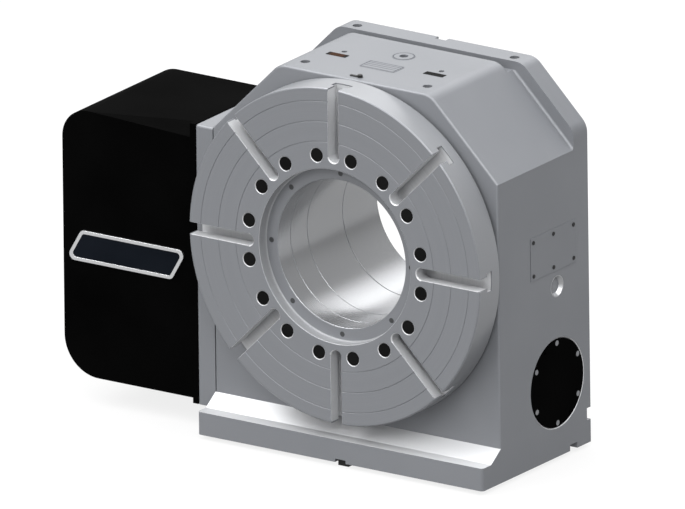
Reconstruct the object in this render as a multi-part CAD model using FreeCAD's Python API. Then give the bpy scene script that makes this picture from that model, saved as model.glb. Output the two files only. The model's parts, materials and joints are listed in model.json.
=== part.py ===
"""Upright CNC rotary table: T-slot faceplate, worm drive, brake and side-mounted servo motor.

Millimetres.  The origin lies on the base plane, under the table axis and midway along the base.
+X runs to the operator's right, -Y out of the faceplate, +Z up.
"""
import FreeCAD, Part
import math
import os
from FreeCAD import Vector

# Housing
side_wall = 15.0
top_wall = 20.0
body_chamfer = 115.0
flange_chamfer = 87.0
flange_thickness = 35.0
body_corner_radius = 30.0
flange_corner_radius = 27.0
front_edge_fillet = 3.5
flange_root_fillet = 4.0
relief_width = 15.0
relief_depth = 13.0
foot_height = 34.0
foot_rise = 17.0
foot_flat = 21.5
foot_corner_radius = 5.0
keyway_width = 18.0
keyway_depth = 9.0
cross_keyway_from_back = 43.0
back_keyway_height = 43.0
front_key_pocket = 72.0
front_key_depth = 5.0

# Table, measured back from its front face
plate_radius = 250.0
plate_thickness = 50.0
plate_overhang = 8.0
plate_gap = 4.0
plate_edge_chamfer = 1.5
through_bore_radius = 110.0
bore_ring_width = 20.0
bore_ring_step = 2.0
slot_count = 8
slot_neck_width = 18.0
slot_neck_depth = 18.0
slot_head_width = 30.0
slot_head_height = 12.0
slot_inner_wall = 10.0
table_bolt_count = 16
table_bolt_wall = 20.0
table_bolt_head_radius = 9.0
table_bolt_head_height = 12.0
table_bolt_shank_radius = 6.0
table_bolt_grip = 28.0
counterbore_radius = 10.0
counterbore_depth = 20.0
plug_setback = 0.2
bore_ring_setback = 17.0
bore_screw_count = 8
bore_screw_radius = 3.0
bore_screw_head_radius = 4.0
bore_screw_head_height = 6.0

# Spindle and main bearing
spindle_nose_step = 7.0
bearing_section = 36.0
bearing_seat_step = 12.0
bearing_width = 28.0
bearing_ring_gap = 0.7
roller_size = 9.4
roller_clearance = 0.3
roller_count = 24
spacer_thickness = 1.6
spacer_width = 9.0
clamp_ring_lap = 22.0
clamp_ring_thickness = 10.0
clamp_screw_count = 12
seal_running_clearance = 0.3
seal_section = 9.0
seal_width = 8.0
sleeve_flange_step = 6.0
sleeve_flange_thickness = 12.0
sleeve_wall = 22.0
sleeve_bolt_count = 8
sleeve_bolt_offset = 9.0
sleeve_bolt_head_radius = 8.0
sleeve_bolt_head_height = 10.0
sleeve_bolt_shank_radius = 5.0
hub_wall = 24.0
hub_setback = 12.0
hub_flange_step = 26.0
hub_flange_thickness = 14.0
hub_bolt_count = 8

# Brake
wheel_room = 20.0
bearing_lip = 6.0
brake_step_gap = 2.0
brake_seat = 10.0
brake_outer_wall = 6.0
brake_inner_wall = 7.0
brake_disc_gap = 2.0
brake_disc_thickness = 3.0
brake_air_gap = 0.5
brake_body_length = 39.5
brake_running_gap = 3.0
brake_shoulder_thickness = 12.0
piston_width = 20.0
piston_length = 24.0
piston_clearance = 0.3
reaction_ring_thickness = 12.5
brake_screw_count = 8

# Rear cover
rear_lip = 14.0
rear_recess_depth = 25.0
rear_cover_thickness = 14.0
rear_screw_count = 12

# Worm drive
worm_height = 110.0
worm_from_back = 82.0
worm_module = 3.75
worm_pitch_radius = 31.25
worm_thread_length = 96.0
worm_flank_clearance = 0.5
pressure_angle = 20.0
wheel_teeth = 90
wheel_width = 32.0
wheel_rim = 7.25
hub_face_step = 1.0
wheel_front_gap = 20.0
tooth_root_clearance = 0.75
worm_bore_radius = 45.0
worm_bearing_bore = 25.0
worm_bearing_width = 20.0
worm_shoulder_radius = 30.0
right_bearing_x = 150.0
left_bearing_x = -180.0
worm_nut_radius = 33.0
worm_nut_width = 10.0
worm_seal_width = 10.0
worm_end_radius = 22.0
worm_cover_radius = 65.0
worm_cover_thickness = 8.0
worm_cover_wall = 8.0
worm_cover_fit = 0.3
worm_screw_count = 6
worm_screw_circle = 59.5
jack_hole_radius = 2.6

# Spur gears and drive case
gear_module = 3.0
gear_teeth = 44
pinion_teeth = 22
gear_backlash = 0.35
gear_width = 18.0
gear_case_width = 30.0
gear_end_gap = 5.0
gear_room = 4.0
case_top_above_axis = 135.0
case_wall = 10.0
case_edge_fillet = 4.0
motor_plate_thickness = 9.0
motor_axis_forward = 31.0

# Servo motor
motor_shaft_radius = 14.0
rotor_radius = 45.0
rotor_clearance = 0.3
motor_flange_side = 180.0
motor_flange_thickness = 16.0
motor_body_side = 168.0
motor_body_length = 130.0
motor_end_wall = 8.0
motor_corner_radius = 22.0
motor_pilot_radius = 57.0
motor_pilot_height = 5.0
encoder_side = 126.0
encoder_length = 40.0
connector_base = 40.0
connector_height = 22.0
connector_radius = 14.0
connector_length = 34.0
connector_edge = 2.0

# Motor cover
cover_width = 220.0
cover_top_above_axis = 122.0
cover_bottom = 35.0
cover_wall = 4.0
cover_top_radius = 44.0
cover_bottom_radius = 58.0
cover_bevel_drop = 7.5
cover_bevel_depth = 52.0
cover_bevel_length = 170.0
bracket_size = 26.0
gland_radius = 13.0
gland_length = 20.0
gland_bore = 7.0
gland_wall = 2.0
gland_height = 80.0
gland_pitch = 50.0

# Plates, labels and small fittings
badge_length = 182.0
badge_height = 46.5
badge_slant = 27.0
badge_corner_radius = 9.0
badge_border = 5.0
badge_thickness = 3.0
badge_inlay_depth = 1.2
badge_top_below_axis = 57.0
badge_from_cover_left = 32.5
side_plate_length = 114.0
side_plate_height = 64.0
side_plate_thickness = 0.8
side_plate_from_back = 89.0
side_screw_pitch_y = 50.3
side_screw_pitch_z = 50.0
sight_from_back = 80.0
sight_below_axis = 56.0
sight_outer_radius = 16.0
sight_glass_radius = 11.0
sight_dish = 5.0
sight_depth = 12.0
sight_lens_thickness = 4.0
sight_hole_radius = 8.0
lifting_hole_radius = 7.0
lifting_hole_depth = 32.0
body_lift_x = 105.0
body_lift_from_front = 31.0
flange_lift_x = 135.0
flange_lift_from_back = 20.0
port_radius = 4.2
port_depth = 24.0
port_x = 83.5
port_from_back = 128.0
label_length = 33.0
label_width = 11.0
label_from_back = 145.5
label_thickness = 0.5
filler_radius = 5.4
filler_from_back = 101.0
filler_label_radius = 16.6
spec_plate_length = 60.0
spec_plate_width = 30.0
spec_plate_from_back = 156.0
spec_corner_radius = 4.0
pointer_length = 20.0
pointer_width = 4.0
pointer_thickness = 1.6
pointer_from_front = 13.0
pointer_x = -5.0
pointer_knob_radius = 3.6
pointer_knob_height = 2.4
key_length = 46.0
key_setback = 8.0
key_drop = 6.5
key_screw_radius = 2.5
key_screw_head_radius = 4.0
key_screw_head_height = 4.0

# Places worked out from the sizes above
wheel_pitch_radius = worm_module * wheel_teeth / 2
wheel_outer_radius = wheel_pitch_radius + wheel_rim
cavity_radius = wheel_outer_radius + wheel_room
bearing_step_radius = cavity_radius - bearing_lip
brake_rim_radius = cavity_radius - brake_seat
brake_screw_circle = cavity_radius - brake_seat / 2
brake_disc_radius = brake_rim_radius - brake_disc_gap
piston_outer_radius = brake_rim_radius - brake_outer_wall
piston_inner_radius = piston_outer_radius - piston_width
brake_inner_radius = piston_inner_radius - brake_inner_wall
brake_shoulder_radius = brake_inner_radius - brake_running_gap
rear_recess_radius = cavity_radius + rear_lip
rear_screw_circle = cavity_radius + rear_lip / 2
bearing_outer_radius = cavity_radius + bearing_seat_step
bearing_bore_radius = bearing_outer_radius - bearing_section
spindle_nose_radius = bearing_bore_radius + spindle_nose_step
sleeve_flange_radius = bearing_bore_radius + sleeve_flange_step
clamp_ring_radius = bearing_outer_radius + clamp_ring_lap
clamp_screw_circle = bearing_outer_radius + clamp_ring_lap / 2
plate_bore_radius = through_bore_radius + bore_ring_width
bore_ring_radius = plate_bore_radius - bore_ring_step
bore_screw_circle = through_bore_radius + bore_ring_width / 2
slot_inner_radius = plate_bore_radius + slot_inner_wall
table_bolt_circle = plate_bore_radius + table_bolt_wall
sleeve_radius = through_bore_radius + sleeve_wall
sleeve_bolt_circle = sleeve_radius + sleeve_bolt_offset
hub_radius = through_bore_radius + hub_wall
hub_bolt_circle = through_bore_radius + hub_wall / 2
hub_flange_radius = hub_radius + hub_flange_step
half_width = clamp_ring_radius + side_wall
worm_centre_distance = wheel_pitch_radius + worm_pitch_radius
axis_z = worm_height + worm_centre_distance
top_z = axis_z + clamp_ring_radius + top_wall
body_chamfer_sum = half_width + top_z - axis_z - body_chamfer
flange_chamfer_sum = half_width + top_z - axis_z - flange_chamfer
table_depth = plate_thickness + plate_gap - plate_overhang
bearing_depth = clamp_ring_thickness + bearing_width + sleeve_flange_thickness
disc_room = brake_disc_thickness + 2 * brake_air_gap
brake_depth = brake_step_gap + brake_body_length + disc_room + reaction_ring_thickness
drive_depth = wheel_front_gap + wheel_width / 2 + worm_from_back
base_depth = table_depth + bearing_depth + brake_depth + drive_depth
front_y = -base_depth / 2
back_y = base_depth / 2
face_y = front_y - plate_overhang
plate_back_y = face_y + plate_thickness
body_y = plate_back_y + plate_gap
bearing_y = body_y + clamp_ring_thickness
sleeve_y = bearing_y + bearing_width
brake_y = sleeve_y + sleeve_flange_thickness + brake_step_gap
brake_end_y = brake_y + brake_body_length
disc_y = brake_end_y + brake_air_gap
reaction_y = disc_y + brake_disc_thickness + brake_air_gap
worm_y = back_y - worm_from_back
worm_z = worm_height
hub_y = worm_y - wheel_width / 2 - hub_face_step
hub_end_y = back_y - hub_setback
rear_seat_y = back_y - rear_recess_depth
roller_y = bearing_y + bearing_width / 2
roller_circle = (bearing_bore_radius + bearing_outer_radius) / 2 - bearing_ring_gap
drive_x = -half_width
motor_plate_x = drive_x - gear_case_width
motor_x = motor_plate_x - motor_plate_thickness
gear_distance = gear_module * (gear_teeth + pinion_teeth) / 2
motor_y = worm_y - motor_axis_forward
motor_z = worm_z + math.sqrt(gear_distance ** 2 - motor_axis_forward ** 2)
gear_x0 = motor_plate_x + gear_end_gap
gear_x1 = gear_x0 + gear_width
gear_space = gear_module * (gear_teeth / 2 + 1) + gear_room
case_bottom = worm_z - gear_space - case_wall
case_top = axis_z + case_top_above_axis
cover_top = axis_z + cover_top_above_axis
cover_x = motor_x - cover_width
axial_pitch = math.pi * worm_module

ALONG_X = Vector(1, 0, 0)
ALONG_Y = Vector(0, 1, 0)
ALONG_Z = Vector(0, 0, 1)


# Shape helpers

def box(x0, x1, y0, y1, z0, z1):
    return Part.makeBox(x1 - x0, y1 - y0, z1 - z0, Vector(x0, y0, z0))


def disc(radius, y0, y1, x=0.0, z=axis_z):
    """Cylinder along Y, on the table axis unless told otherwise."""
    return Part.makeCylinder(radius, y1 - y0, Vector(x, y0, z), ALONG_Y)


def ring(inner, outer, y0, y1):
    return disc(outer, y0, y1).cut(disc(inner, y0, y1))


def bar(radius, x0, x1, y=worm_y, z=worm_z):
    """Cylinder along X, on the worm axis unless told otherwise."""
    return Part.makeCylinder(radius, x1 - x0, Vector(x0, y, z), ALONG_X)


def post(radius, z0, z1, x, y):
    return Part.makeCylinder(radius, z1 - z0, Vector(x, y, z0), ALONG_Z)


def polygon(points):
    return Part.Face(Part.makePolygon(points + points[:1]))


def prism_y(points_xz, y0, y1):
    return polygon([Vector(x, y0, z) for x, z in points_xz]).extrude(ALONG_Y * (y1 - y0))


def prism_x(points_yz, x0, x1):
    return polygon([Vector(x0, y, z) for y, z in points_yz]).extrude(ALONG_X * (x1 - x0))


def revolve(points_ry):
    """Solid of revolution about the table axis from (radius, y) points."""
    profile = polygon([Vector(r, y, axis_z) for r, y in points_ry])
    return profile.revolve(Vector(0, 0, axis_z), ALONG_Y, 360)


def revolve_x(points_xr, y, z):
    """Solid of revolution about an axis along X from (x, radius) points."""
    profile = polygon([Vector(x, y, z + r) for x, r in points_xr])
    return profile.revolve(Vector(0, y, z), ALONG_X, 360)


def around(shape, count, start=0.0):
    """Copies of a shape spaced evenly about the table axis."""
    step = 360.0 / count
    centre = Vector(0, 0, axis_z)
    return [shape.rotated(centre, ALONG_Y, start + step * k) for k in range(count)]


def screw(seat, direction, head_radius, head_height, shank_radius, shank_length):
    """Cap screw whose head rests on seat, with its shank along direction."""
    head = Part.makeCylinder(head_radius, head_height, seat - direction * head_height, direction)
    return head.fuse(Part.makeCylinder(shank_radius, shank_length, seat, direction)).removeSplitter()


def round_edges(shape, radius, chosen):
    edges = [edge for edge in shape.Edges if chosen(edge)]
    return shape.makeFillet(radius, edges)


def runs_along(edge, direction):
    if len(edge.Vertexes) < 2:
        return False
    span = edge.Vertexes[1].Point - edge.Vertexes[0].Point
    return span.cross(direction).Length < 1e-6 * span.Length


def near(a, b):
    return abs(a - b) < 1e-6


def middle(edge):
    return edge.valueAt((edge.FirstParameter + edge.LastParameter) / 2)


def save(name, shapes):
    shape = Part.makeCompound(shapes) if isinstance(shapes, list) else shapes
    shape.exportStep("parts/" + name + ".step")


# Housing casting

def chamfered_block(chamfer_sum, y0, y1, corner_radius, lowest_round_z):
    """Block with its two top corners cut at 45 degrees, rounded above a given height."""
    knee_z = axis_z + chamfer_sum - half_width
    knee_x = chamfer_sum - (top_z - axis_z)
    outline = [(-half_width, 0), (half_width, 0), (half_width, knee_z)]
    outline += [(knee_x, top_z), (-knee_x, top_z), (-half_width, knee_z)]
    block = prism_y(outline, y0, y1)

    def is_corner(edge):
        return runs_along(edge, ALONG_Y) and edge.CenterOfMass.z > lowest_round_z

    return round_edges(block, corner_radius, is_corner)


def housing_body():
    flange_y = back_y - flange_thickness
    body = chamfered_block(body_chamfer_sum, body_y, flange_y, body_corner_radius, top_z - relief_depth)

    def is_front_edge(edge):
        ends = [vertex.Point for vertex in edge.Vertexes]
        return all(near(end.y, body_y) for end in ends) and edge.CenterOfMass.z > 1

    body = round_edges(body, front_edge_fillet, is_front_edge)
    flange = chamfered_block(flange_chamfer_sum, flange_y, back_y, flange_corner_radius, axis_z)
    casting = body.fuse(flange).removeSplitter()

    def is_flange_root(edge):
        point = middle(edge)
        on_chamfer = abs(abs(point.x) + point.z - axis_z - body_chamfer_sum) < 1e-3
        return near(point.y, flange_y) and on_chamfer

    casting = round_edges(casting, flange_root_fillet, is_flange_root)
    relief = box(-half_width, half_width, flange_y - relief_width, flange_y, top_z - relief_depth, top_z)
    return casting.cut(relief)


def foot():
    slope_y = front_y + foot_flat
    outline = [(front_y, 0), (front_y, foot_height), (slope_y, foot_height)]
    outline += [(body_y, foot_height + foot_rise), (body_y + flange_thickness, foot_height + foot_rise)]
    outline += [(body_y + flange_thickness, 0)]
    ledge = prism_x(outline, -half_width, half_width)

    def is_front_corner(edge):
        return near(edge.CenterOfMass.y, front_y) and runs_along(edge, ALONG_Z)

    return round_edges(ledge, foot_corner_radius, is_front_corner)


def spindle_bores():
    steps = [(clamp_ring_radius, body_y, bearing_y), (bearing_outer_radius, bearing_y, sleeve_y)]
    steps += [(bearing_step_radius, sleeve_y, brake_y), (cavity_radius, brake_y, rear_seat_y)]
    steps += [(rear_recess_radius, rear_seat_y, back_y)]
    outline = [(0, body_y)]
    for radius, y0, y1 in steps:
        outline += [(radius, y0), (radius, y1)]
    outline += [(0, back_y)]
    return revolve(outline)


def keyways():
    half = keyway_width / 2
    cross_y = back_y - cross_keyway_from_back
    floor_y = back_y - keyway_depth
    return [box(-half_width, half_width, cross_y - half, cross_y + half, 0, keyway_depth),
            box(-half_width, half_width, floor_y, back_y,
                back_keyway_height - half, back_keyway_height + half),
            box(-half, half, floor_y, back_y, 0, top_z),
            box(-half, half, front_y, front_y + front_key_pocket, 0, front_key_depth),
            box(-half, half, cross_y, back_y, 0, keyway_depth)]


def top_holes():
    lift_floor = top_z - lifting_hole_depth
    lift_y = body_y + body_lift_from_front
    flange_lift_y = back_y - flange_lift_from_back
    holes = []
    for side in (-1, 1):
        holes.append(post(lifting_hole_radius, lift_floor, top_z, side * body_lift_x, lift_y))
        holes.append(post(lifting_hole_radius, lift_floor, top_z, side * flange_lift_x, flange_lift_y))
        holes.append(post(port_radius, top_z - port_depth, top_z, side * port_x, back_y - port_from_back))
    holes.append(post(filler_radius, axis_z, top_z, 0, back_y - filler_from_back))
    return holes


def side_holes():
    sight_y = back_y - sight_from_back
    sight_z = axis_z - sight_below_axis
    return [bar(worm_bore_radius, -half_width, half_width),
            bar(worm_cover_radius + worm_cover_fit, half_width - worm_cover_thickness, half_width),
            bar(sight_outer_radius, half_width - sight_depth, half_width, sight_y, sight_z),
            bar(sight_hole_radius, 0, half_width, sight_y, sight_z)]


def housing(screws):
    casting = housing_body().fuse(foot())
    tools = [spindle_bores()] + keyways() + top_holes() + side_holes() + screws
    return casting.cut(tools).removeSplitter()


# Faceplate and what fills its holes

def t_slot():
    """One radial T-slot pointing up, with its round inner end."""
    neck = slot_neck_width / 2
    head = slot_head_width / 2
    head_y = face_y + slot_neck_depth
    floor_y = head_y + slot_head_height
    end_z = axis_z + slot_inner_radius + neck
    rim_z = axis_z + plate_radius
    slot = box(-neck, neck, face_y, head_y, end_z, rim_z)
    slot = slot.fuse([disc(neck, face_y, head_y, 0, end_z),
                      box(-head, head, head_y, floor_y, end_z, rim_z),
                      disc(head, head_y, floor_y, 0, end_z)])
    return slot.removeSplitter()


def table_bolts():
    seat = Vector(0, face_y + counterbore_depth, axis_z + table_bolt_circle)
    length = plate_thickness - counterbore_depth + table_bolt_grip
    bolt = screw(seat, ALONG_Y, table_bolt_head_radius, table_bolt_head_height,
                 table_bolt_shank_radius, length)
    return around(bolt, table_bolt_count, 180.0 / table_bolt_count)


def bolt_hole_plugs():
    head_y = face_y + counterbore_depth - table_bolt_head_height
    plug = disc(counterbore_radius - plug_setback, face_y + plug_setback, head_y,
                0, axis_z + table_bolt_circle)
    return around(plug, table_bolt_count, 180.0 / table_bolt_count)


def faceplate(bolts):
    floor_y = face_y + bore_ring_setback
    plate = disc(plate_radius, face_y, plate_back_y)
    plate = plate.cut([disc(plate_bore_radius, face_y, floor_y),
                       disc(bore_ring_radius, floor_y, plate_back_y)])

    def is_rim(edge):
        return isinstance(edge.Curve, Part.Circle) and near(edge.Curve.Radius, plate_radius)

    plate = plate.makeChamfer(plate_edge_chamfer, [edge for edge in plate.Edges if is_rim(edge)])
    pocket = disc(counterbore_radius, face_y, face_y + counterbore_depth, 0, axis_z + table_bolt_circle)
    pockets = around(pocket, table_bolt_count, 180.0 / table_bolt_count)
    return plate.cut(around(t_slot(), slot_count) + pockets + bolts)


def bore_ring_screws():
    seat = Vector(0, face_y + bore_ring_setback + bore_screw_head_height, axis_z + bore_screw_circle)
    length = plate_back_y - seat.y + table_bolt_grip / 2
    one = screw(seat, ALONG_Y, bore_screw_head_radius, bore_screw_head_height, bore_screw_radius, length)
    return around(one, bore_screw_count)


def bore_ring(screws):
    return ring(through_bore_radius, bore_ring_radius, face_y + bore_ring_setback, plate_back_y).cut(screws)


# Spindle stack

def sleeve_bolts():
    seat = Vector(0, sleeve_y + sleeve_flange_thickness, axis_z + sleeve_bolt_circle)
    length = sleeve_flange_thickness + bearing_width / 2
    bolt = screw(seat, -ALONG_Y, sleeve_bolt_head_radius, sleeve_bolt_head_height,
                 sleeve_bolt_shank_radius, length)
    return around(bolt, sleeve_bolt_count)


def hub_bolts():
    seat = Vector(0, hub_end_y - sleeve_bolt_head_height, axis_z + hub_bolt_circle)
    length = seat.y - hub_y + hub_flange_thickness
    bolt = screw(seat, -ALONG_Y, sleeve_bolt_head_radius, sleeve_bolt_head_height,
                 sleeve_bolt_shank_radius, length)
    return around(bolt, hub_bolt_count, 180.0 / hub_bolt_count)


def spindle_flange(bolts):
    outline = [(through_bore_radius, plate_back_y), (spindle_nose_radius, plate_back_y)]
    outline += [(spindle_nose_radius, bearing_y), (bearing_bore_radius, bearing_y)]
    outline += [(bearing_bore_radius, sleeve_y), (through_bore_radius, sleeve_y)]
    return revolve(outline).cut(bolts)


def spindle_sleeve(bolts):
    flange_end = sleeve_y + sleeve_flange_thickness
    shoulder_y = disc_y - brake_shoulder_thickness
    outline = [(through_bore_radius, sleeve_y), (sleeve_flange_radius, sleeve_y)]
    outline += [(sleeve_flange_radius, flange_end), (sleeve_radius, flange_end)]
    outline += [(sleeve_radius, shoulder_y), (brake_shoulder_radius, shoulder_y)]
    outline += [(brake_shoulder_radius, disc_y), (sleeve_radius, disc_y)]
    outline += [(sleeve_radius, hub_y), (through_bore_radius, hub_y)]
    return revolve(outline).cut(bolts)


def wheel_hub(bolts):
    seat_y = worm_y + wheel_width / 2
    outline = [(through_bore_radius, hub_y), (hub_radius, hub_y), (hub_radius, seat_y)]
    outline += [(hub_flange_radius, seat_y), (hub_flange_radius, seat_y + hub_flange_thickness)]
    outline += [(hub_radius, seat_y + hub_flange_thickness), (hub_radius, hub_end_y)]
    outline += [(through_bore_radius, hub_end_y)]
    return revolve(outline).cut(bolts)


# Crossed-roller main bearing

def roller_race():
    """Square-section space the rollers run in, standing on its corner."""
    half = (roller_size / 2 + roller_clearance) * math.sqrt(2)
    return revolve([(roller_circle - half, roller_y), (roller_circle, roller_y - half),
                    (roller_circle + half, roller_y), (roller_circle, roller_y + half)])


def main_bearing_inner_ring():
    outer = roller_circle - bearing_ring_gap / 2
    return ring(bearing_bore_radius, outer, bearing_y, sleeve_y).cut(roller_race())


def main_bearing_outer_ring():
    inner = roller_circle + bearing_ring_gap / 2
    return ring(inner, bearing_outer_radius, bearing_y, sleeve_y).cut(roller_race())


def crossed_cylinders(diameter):
    """Cylinders lying across the race, each at right angles to its neighbours."""
    centre = Vector(0, roller_y, axis_z + roller_circle)
    rollers = []
    for k in range(roller_count):
        lean = Vector(0, 1, 1 if k % 2 else -1).normalize()
        roller = Part.makeCylinder(diameter / 2, diameter, centre - lean * (diameter / 2), lean)
        rollers.append(roller.rotated(Vector(0, 0, axis_z), ALONG_Y, 360.0 * k / roller_count))
    return rollers


def main_bearing_spacers():
    """Curved strips that keep neighbouring rollers apart."""
    band = ring(roller_circle - spacer_thickness / 2, roller_circle + spacer_thickness / 2,
                roller_y - spacer_width / 2, roller_y + spacer_width / 2)
    return band.cut(crossed_cylinders(roller_size + roller_clearance))


# Front clamp ring and seals

def clamp_ring_screws():
    seat = Vector(0, body_y + clamp_ring_thickness / 2, axis_z + clamp_screw_circle)
    one = screw(seat, ALONG_Y, table_bolt_shank_radius, clamp_ring_thickness / 2,
                bore_screw_head_radius, bearing_width)
    return around(one, clamp_screw_count)


def front_seal():
    inner = spindle_nose_radius + seal_running_clearance
    return ring(inner, inner + seal_section, bearing_y - seal_width, bearing_y)


def bearing_clamp_ring(screws):
    inner = spindle_nose_radius + seal_running_clearance + seal_section
    return ring(inner, clamp_ring_radius, body_y, bearing_y).cut(screws)


# Brake

def brake_screws():
    seat = Vector(0, reaction_y + reaction_ring_thickness, axis_z + brake_screw_circle)
    length = reaction_ring_thickness + brake_body_length / 2
    one = screw(seat, -ALONG_Y, bore_screw_head_radius, bore_screw_head_height, bore_screw_radius, length)
    return around(one, brake_screw_count, 180.0 / brake_screw_count)


def brake_cylinder(screws):
    chamber_y = brake_end_y - piston_length
    outline = [(brake_inner_radius, brake_y), (cavity_radius, brake_y), (cavity_radius, reaction_y)]
    outline += [(brake_rim_radius, reaction_y), (brake_rim_radius, brake_end_y)]
    outline += [(piston_outer_radius, brake_end_y), (piston_outer_radius, chamber_y)]
    outline += [(piston_inner_radius, chamber_y), (piston_inner_radius, brake_end_y)]
    outline += [(brake_inner_radius, brake_end_y)]
    return revolve(outline).cut(screws)


def brake_piston():
    return ring(piston_inner_radius + piston_clearance, piston_outer_radius - piston_clearance,
                brake_end_y - piston_length, brake_end_y)


def brake_disc():
    return ring(sleeve_radius, brake_disc_radius, disc_y, disc_y + brake_disc_thickness)


def brake_reaction_ring(screws):
    end_y = reaction_y + reaction_ring_thickness
    return ring(brake_inner_radius, cavity_radius, reaction_y, end_y).cut(screws)


# Rear cover

def rear_cover_screws():
    seat = Vector(0, rear_seat_y + rear_cover_thickness, axis_z + rear_screw_circle)
    seat.y -= bore_screw_head_height
    one = screw(seat, -ALONG_Y, bore_screw_head_radius, bore_screw_head_height, bore_screw_radius,
                rear_cover_thickness * 2)
    return around(one, rear_screw_count, 180.0 / rear_screw_count)


def rear_seal():
    inner = hub_radius + seal_running_clearance
    return ring(inner, inner + seal_section, rear_seat_y, rear_seat_y + seal_width)


def rear_cover(screws):
    inner = hub_radius + seal_running_clearance + seal_section
    return ring(inner, rear_recess_radius, rear_seat_y, rear_seat_y + rear_cover_thickness).cut(screws)


# Worm and worm wheel

def flank_half_width(pitch_half_width, above_pitch):
    """Half width of a straight-sided tooth at a height above its pitch line."""
    return pitch_half_width - above_pitch * math.tan(math.radians(pressure_angle))


def worm_thread():
    """Trapezoid thread swept along a right-hand helix, centred on the wheel's middle plane."""
    root = worm_pitch_radius - worm_module - tooth_root_clearance
    tip = worm_pitch_radius + worm_module
    pitch_half = axial_pitch / 4 - worm_flank_clearance
    root_half = flank_half_width(pitch_half, root - worm_pitch_radius)
    tip_half = flank_half_width(pitch_half, worm_module)
    sunk = 0.5
    turns = 2 * math.ceil(worm_thread_length / axial_pitch / 2)
    height = turns * axial_pitch
    corners = [Vector(root - sunk, 0, -root_half), Vector(tip, 0, -tip_half)]
    corners += [Vector(tip, 0, tip_half), Vector(root - sunk, 0, root_half)]
    helix = Part.makeHelix(axial_pitch, height, worm_pitch_radius)
    thread = Part.Wire(helix.Edges).makePipeShell([Part.makePolygon(corners + corners[:1])], True, True)
    thread.translate(Vector(0, 0, -height / 2))
    thread.rotate(Vector(0, 0, 0), ALONG_Y, -90)
    thread.translate(Vector(0, worm_y, worm_z))
    return thread.common(bar(tip + 1, -worm_thread_length / 2, worm_thread_length / 2))


def worm_shaft():
    root = worm_pitch_radius - worm_module - tooth_root_clearance
    relief = worm_thread_length / 2 + axial_pitch
    right_end = right_bearing_x + 2 * worm_bearing_width
    steps = [(gear_x0, left_bearing_x - worm_bearing_width, worm_end_radius),
             (left_bearing_x - worm_bearing_width, left_bearing_x, worm_bearing_bore),
             (left_bearing_x, -relief, worm_shoulder_radius),
             (-relief, relief, root),
             (relief, right_bearing_x, worm_shoulder_radius),
             (right_bearing_x, right_end + worm_nut_width, worm_bearing_bore)]
    outline = [(steps[0][0], 0)]
    for x0, x1, radius in steps:
        outline += [(x0, radius), (x1, radius)]
    outline += [(steps[-1][1], 0)]
    return revolve_x(outline, worm_y, worm_z).fuse(worm_thread())


def worm_wheel():
    """Bronze rim, throated round the worm, with a straight-sided gap cut for each tooth."""
    throat = worm_pitch_radius - worm_module
    half = wheel_width / 2
    lip = math.sqrt(throat ** 2 - (worm_centre_distance - wheel_outer_radius) ** 2)
    places = [(hub_radius, -half), (wheel_outer_radius, -half), (wheel_outer_radius, -lip)]
    places += [(worm_centre_distance - throat, 0), (wheel_outer_radius, lip)]
    places += [(wheel_outer_radius, half), (hub_radius, half)]
    points = [Vector(r, worm_y + y, axis_z) for r, y in places]
    edges = [Part.makeLine(points[0], points[1]), Part.makeLine(points[1], points[2]),
             Part.Arc(points[2], points[3], points[4]).toShape(), Part.makeLine(points[4], points[5]),
             Part.makeLine(points[5], points[6]), Part.makeLine(points[6], points[0])]
    blank = Part.Face(Part.Wire(edges)).revolve(Vector(0, 0, axis_z), ALONG_Y, 360)

    root = wheel_pitch_radius - worm_module - tooth_root_clearance
    reach = wheel_outer_radius + 1
    root_half = flank_half_width(axial_pitch / 4, wheel_pitch_radius - root)
    reach_half = flank_half_width(axial_pitch / 4, wheel_pitch_radius - reach)
    lead_slope = axial_pitch / (2 * math.pi * worm_pitch_radius)
    overrun = half + 1
    drift = lead_slope * overrun
    start = worm_y - overrun
    corners = [Vector(drift - root_half, start, axis_z - root),
               Vector(drift + root_half, start, axis_z - root)]
    corners += [Vector(drift + reach_half, start, axis_z - reach)]
    corners += [Vector(drift - reach_half, start, axis_z - reach)]
    gap = polygon(corners).extrude(Vector(-2 * drift, 2 * overrun, 0))
    return blank.cut(around(gap, wheel_teeth))


def bearing_ring_pair(x0, x1):
    """Inner and outer ring of one sealed bearing on the worm shaft."""
    third = (worm_bore_radius - worm_bearing_bore) / 3
    split = (worm_bore_radius + worm_bearing_bore) / 2
    inner = bar(worm_bearing_bore + third, x0, x1).cut(bar(worm_bearing_bore, x0, x1))
    outer = bar(worm_bore_radius, x0, x1).cut(bar(split, x0, x1))
    return inner, outer


def worm_bearings():
    left = bearing_ring_pair(left_bearing_x - worm_bearing_width, left_bearing_x)
    middle_x = right_bearing_x + worm_bearing_width
    right = bearing_ring_pair(right_bearing_x, middle_x)
    end = bearing_ring_pair(middle_x, middle_x + worm_bearing_width)
    pairs = [left, right, end]
    return [inner for inner, outer in pairs], [outer for inner, outer in pairs]


def worm_lock_nut():
    x0 = right_bearing_x + 2 * worm_bearing_width
    nut = bar(worm_nut_radius, x0, x0 + worm_nut_width)
    return nut.cut(bar(worm_bearing_bore, x0, x0 + worm_nut_width))


def worm_seal():
    inner = worm_end_radius + seal_running_clearance
    return bar(worm_bore_radius, drive_x, drive_x + worm_seal_width).cut(
        bar(inner, drive_x, drive_x + worm_seal_width))


def on_worm_circle(angle):
    turn = math.radians(angle)
    return worm_y + worm_screw_circle * math.cos(turn), worm_z + worm_screw_circle * math.sin(turn)


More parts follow.
